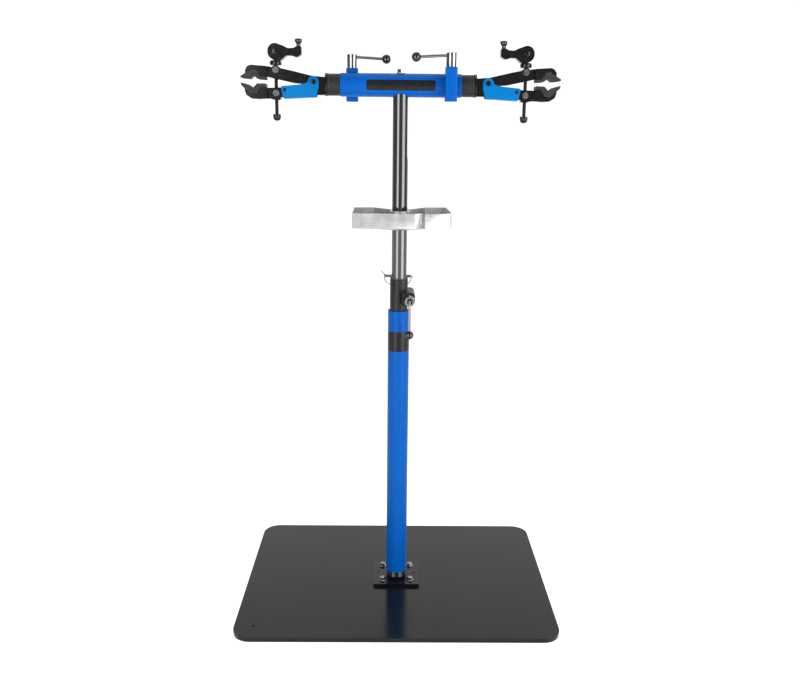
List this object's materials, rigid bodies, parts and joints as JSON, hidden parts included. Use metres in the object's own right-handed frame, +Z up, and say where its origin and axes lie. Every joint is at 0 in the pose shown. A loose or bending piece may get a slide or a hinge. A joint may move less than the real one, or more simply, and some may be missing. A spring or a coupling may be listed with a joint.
{
  "type": "bicycle repair stand",
  "caption": "Freestanding bicycle repair stand with a heavy floor plate, telescoping mast, crossbar, opposed screw clamps that turn, and a sliding tool tray.",
  "frame": {"origin": "centre of the floor plate's underside, on the floor", "axes": "+Z up along the mast, +X along the crossbar to the viewer's right, -Y towards the front of the stand"},
  "size_m": [0.889, 0.6604, 1.5553],
  "materials": {
    "plate_black": "satin black",
    "tube_black": "gloss black",
    "cast_black": "satin black casting",
    "ball_black": "gloss black",
    "stand_blue": "gloss blue",
    "chrome": "polished",
    "steel": "plain",
    "tray_sheet": "brushed",
    "cover_grey": "matte grey",
    "sleeve_grey": "matte dark grey",
    "nylon": "matte black"
  },
  "bodies": {
    "stand": {"base_plate": "plate_black", "column_flange": "cast_black", "flange_bolt_1": "chrome", "flange_bolt_2": "chrome", "flange_bolt_3": "chrome", "flange_bolt_4": "chrome", "column_socket": "cast_black", "lower_column": "stand_blue", "column_collar": "cast_black", "height_lock_stud": "steel"},
    "height_lock_screw": {"height_lock_barrel": "chrome"},
    "height_lock_handle": {"height_lock_rod": "chrome", "height_lock_ball": "ball_black"},
    "guide": {"guide_bushing": "nylon"},
    "mast": {"mast_tube": "tube_black", "mast_plug": "steel", "crossbar": "stand_blue", "crossbar_bolt": "chrome", "left_binder_boss": "stand_blue", "left_binder_cotter": "steel", "right_binder_boss": "stand_blue", "right_binder_cotter": "steel"},
    "pin": {"safety_pin": "steel"},
    "pin_wire": {"safety_wire": "steel"},
    "tray_carrier": {"tray_hub": "tray_sheet"},
    "tray": {"tray_pan": "tray_sheet"},
    "left_binder_screw": {"left_binder_barrel": "chrome"},
    "left_binder_handle": {"left_binder_rod": "chrome", "left_binder_ball": "ball_black"},
    "left_clamp": {"left_sleeve": "sleeve_grey", "left_clamp_shaft": "tube_black", "left_upper_jaw": "cast_black", "left_upper_cover": "cover_grey", "left_pivot_bolt": "steel"},
    "left_jaw": {"left_channel": "stand_blue", "left_lower_jaw": "cast_black", "left_lower_cover": "cover_grey"},
    "left_upper_nut": {"left_upper_trunnion": "steel"},
    "left_lower_nut": {"left_lower_trunnion": "steel"},
    "left_screw": {"left_spindle": "cast_black", "left_thrust_washer": "cast_black"},
    "left_lever": {"left_cam_lever": "cast_black", "left_knob": "ball_black"},
    "right_binder_screw": {"right_binder_barrel": "chrome"},
    "right_binder_handle": {"right_binder_rod": "chrome", "right_binder_ball": "ball_black"},
    "right_clamp": {"right_sleeve": "sleeve_grey", "right_clamp_shaft": "tube_black", "right_upper_jaw": "cast_black", "right_upper_cover": "cover_grey", "right_pivot_bolt": "steel"},
    "right_jaw": {"right_channel": "stand_blue", "right_lower_jaw": "cast_black", "right_lower_cover": "cover_grey"},
    "right_upper_nut": {"right_upper_trunnion": "steel"},
    "right_lower_nut": {"right_lower_trunnion": "steel"},
    "right_screw": {"right_spindle": "cast_black", "right_thrust_washer": "cast_black"},
    "right_lever": {"right_cam_lever": "cast_black", "right_knob": "ball_black"}
  },
  "joints": [
    {"name": "height_lock_turn", "type": "hinge", "parent": "stand", "child": "height_lock_screw", "pos_m": [0.029, -0.0443, 0.8785], "axis": [0, -1, 0], "range_deg": [-90, 90]},
    {"name": "height_lock_fold", "type": "hinge", "parent": "height_lock_screw", "child": "height_lock_handle", "pos_m": [0.029, -0.0738, 0.8785], "axis": [-1, 0, 0], "range_deg": [0, 90]},
    {"name": "mast_swivel", "type": "hinge", "parent": "stand", "child": "guide", "pos_m": [0, 0, 0.928], "axis": [0, 0, 1], "continuous": true},
    {"name": "mast_height", "type": "slide", "parent": "guide", "child": "mast", "axis": [0, 0, 1], "range_m": [0, 0.13]},
    {"name": "safety_pin_pull", "type": "slide", "parent": "mast", "child": "pin", "axis": [-1, 0, 0], "range_m": [0, 0.085]},
    {"name": "safety_wire_swing", "type": "hinge", "parent": "pin", "child": "pin_wire", "pos_m": [-0.0405, 0, 0.9355], "axis": [0, 0.6965, 0.7176], "range_deg": [0, 120]},
    {"name": "tray_height", "type": "slide", "parent": "mast", "child": "tray_carrier", "axis": [0, 0, 1], "range_m": [-0.1, 0.25]},
    {"name": "tray_swivel", "type": "hinge", "parent": "tray_carrier", "child": "tray", "pos_m": [0, 0, 1.0765], "axis": [0, 0, 1], "continuous": true},
    {"name": "left_binder_turn", "type": "hinge", "parent": "mast", "child": "left_binder_screw", "pos_m": [-0.1295, 0.038, 1.4858], "axis": [0, 0, 1], "range_deg": [-90, 90]},
    {"name": "left_binder_fold", "type": "hinge", "parent": "left_binder_screw", "child": "left_binder_handle", "pos_m": [-0.1295, 0.038, 1.5153], "axis": [0, -1, 0], "range_deg": [0, 90]},
    {"name": "left_clamp_turn", "type": "hinge", "parent": "mast", "child": "left_clamp", "pos_m": [-0.229, 0, 1.442], "axis": [-1, 0, 0], "continuous": true},
    {"name": "left_spindle_turn", "type": "hinge", "parent": "left_upper_nut", "child": "left_screw", "pos_m": [-0.3274, 0, 1.477], "axis": [0, 0, 1], "range_deg": [-384, 1920]},
    {"name": "left_jaw_open", "type": "hinge", "parent": "left_clamp", "child": "left_jaw", "pos_m": [-0.229, 0, 1.448], "axis": [0, -1, 0], "range_deg": [-3.2, 16]},
    {"name": "left_upper_nut_tilt", "type": "hinge", "parent": "left_clamp", "child": "left_upper_nut", "pos_m": [-0.3274, 0, 1.477], "axis": [0, -1, 0], "range_deg": [-1.6, 8]},
    {"name": "left_lower_nut_tilt", "type": "hinge", "parent": "left_jaw", "child": "left_lower_nut", "pos_m": [-0.3274, 0, 1.419], "axis": [0, -1, 0], "range_deg": [-8, 1.6]},
    {"name": "left_lever_flip", "type": "hinge", "parent": "left_screw", "child": "left_lever", "pos_m": [-0.3274, 0, 1.5235], "axis": [0, -1, 0], "range_deg": [0, 90]},
    {"name": "right_binder_turn", "type": "hinge", "parent": "mast", "child": "right_binder_screw", "pos_m": [0.1295, -0.038, 1.4858], "axis": [0, 0, 1], "range_deg": [-90, 90]},
    {"name": "right_binder_fold", "type": "hinge", "parent": "right_binder_screw", "child": "right_binder_handle", "pos_m": [0.1295, -0.038, 1.5153], "axis": [0, 1, 0], "range_deg": [0, 90]},
    {"name": "right_clamp_turn", "type": "hinge", "parent": "mast", "child": "right_clamp", "pos_m": [0.229, 0, 1.442], "axis": [1, 0, 0], "continuous": true},
    {"name": "right_spindle_turn", "type": "hinge", "parent": "right_upper_nut", "child": "right_screw", "pos_m": [0.3274, 0, 1.477], "axis": [0, 0, 1], "range_deg": [-384, 1920]},
    {"name": "right_jaw_open", "type": "hinge", "parent": "right_clamp", "child": "right_jaw", "pos_m": [0.229, 0, 1.448], "axis": [0, 1, 0], "range_deg": [-3.2, 16]},
    {"name": "right_upper_nut_tilt", "type": "hinge", "parent": "right_clamp", "child": "right_upper_nut", "pos_m": [0.3274, 0, 1.477], "axis": [0, 1, 0], "range_deg": [-1.6, 8]},
    {"name": "right_lower_nut_tilt", "type": "hinge", "parent": "right_jaw", "child": "right_lower_nut", "pos_m": [0.3274, 0, 1.419], "axis": [0, 1, 0], "range_deg": [-8, 1.6]},
    {"name": "right_lever_flip", "type": "hinge", "parent": "right_screw", "child": "right_lever", "pos_m": [0.3274, 0, 1.5235], "axis": [0, 1, 0], "range_deg": [0, 90]}
  ],
  "couplings": [
    {"joint": "safety_wire_swing", "follows": "safety_pin_pull", "rad_per_m": 24.6},
    {"joint": "left_jaw_open", "follows": "left_spindle_turn", "ratio": 0.0083333},
    {"joint": "left_upper_nut_tilt", "follows": "left_spindle_turn", "ratio": 0.0041667},
    {"joint": "left_lower_nut_tilt", "follows": "left_spindle_turn", "ratio": -0.0041667},
    {"joint": "right_jaw_open", "follows": "right_spindle_turn", "ratio": 0.0083333},
    {"joint": "right_upper_nut_tilt", "follows": "right_spindle_turn", "ratio": 0.0041667},
    {"joint": "right_lower_nut_tilt", "follows": "right_spindle_turn", "ratio": -0.0041667}
  ]
}
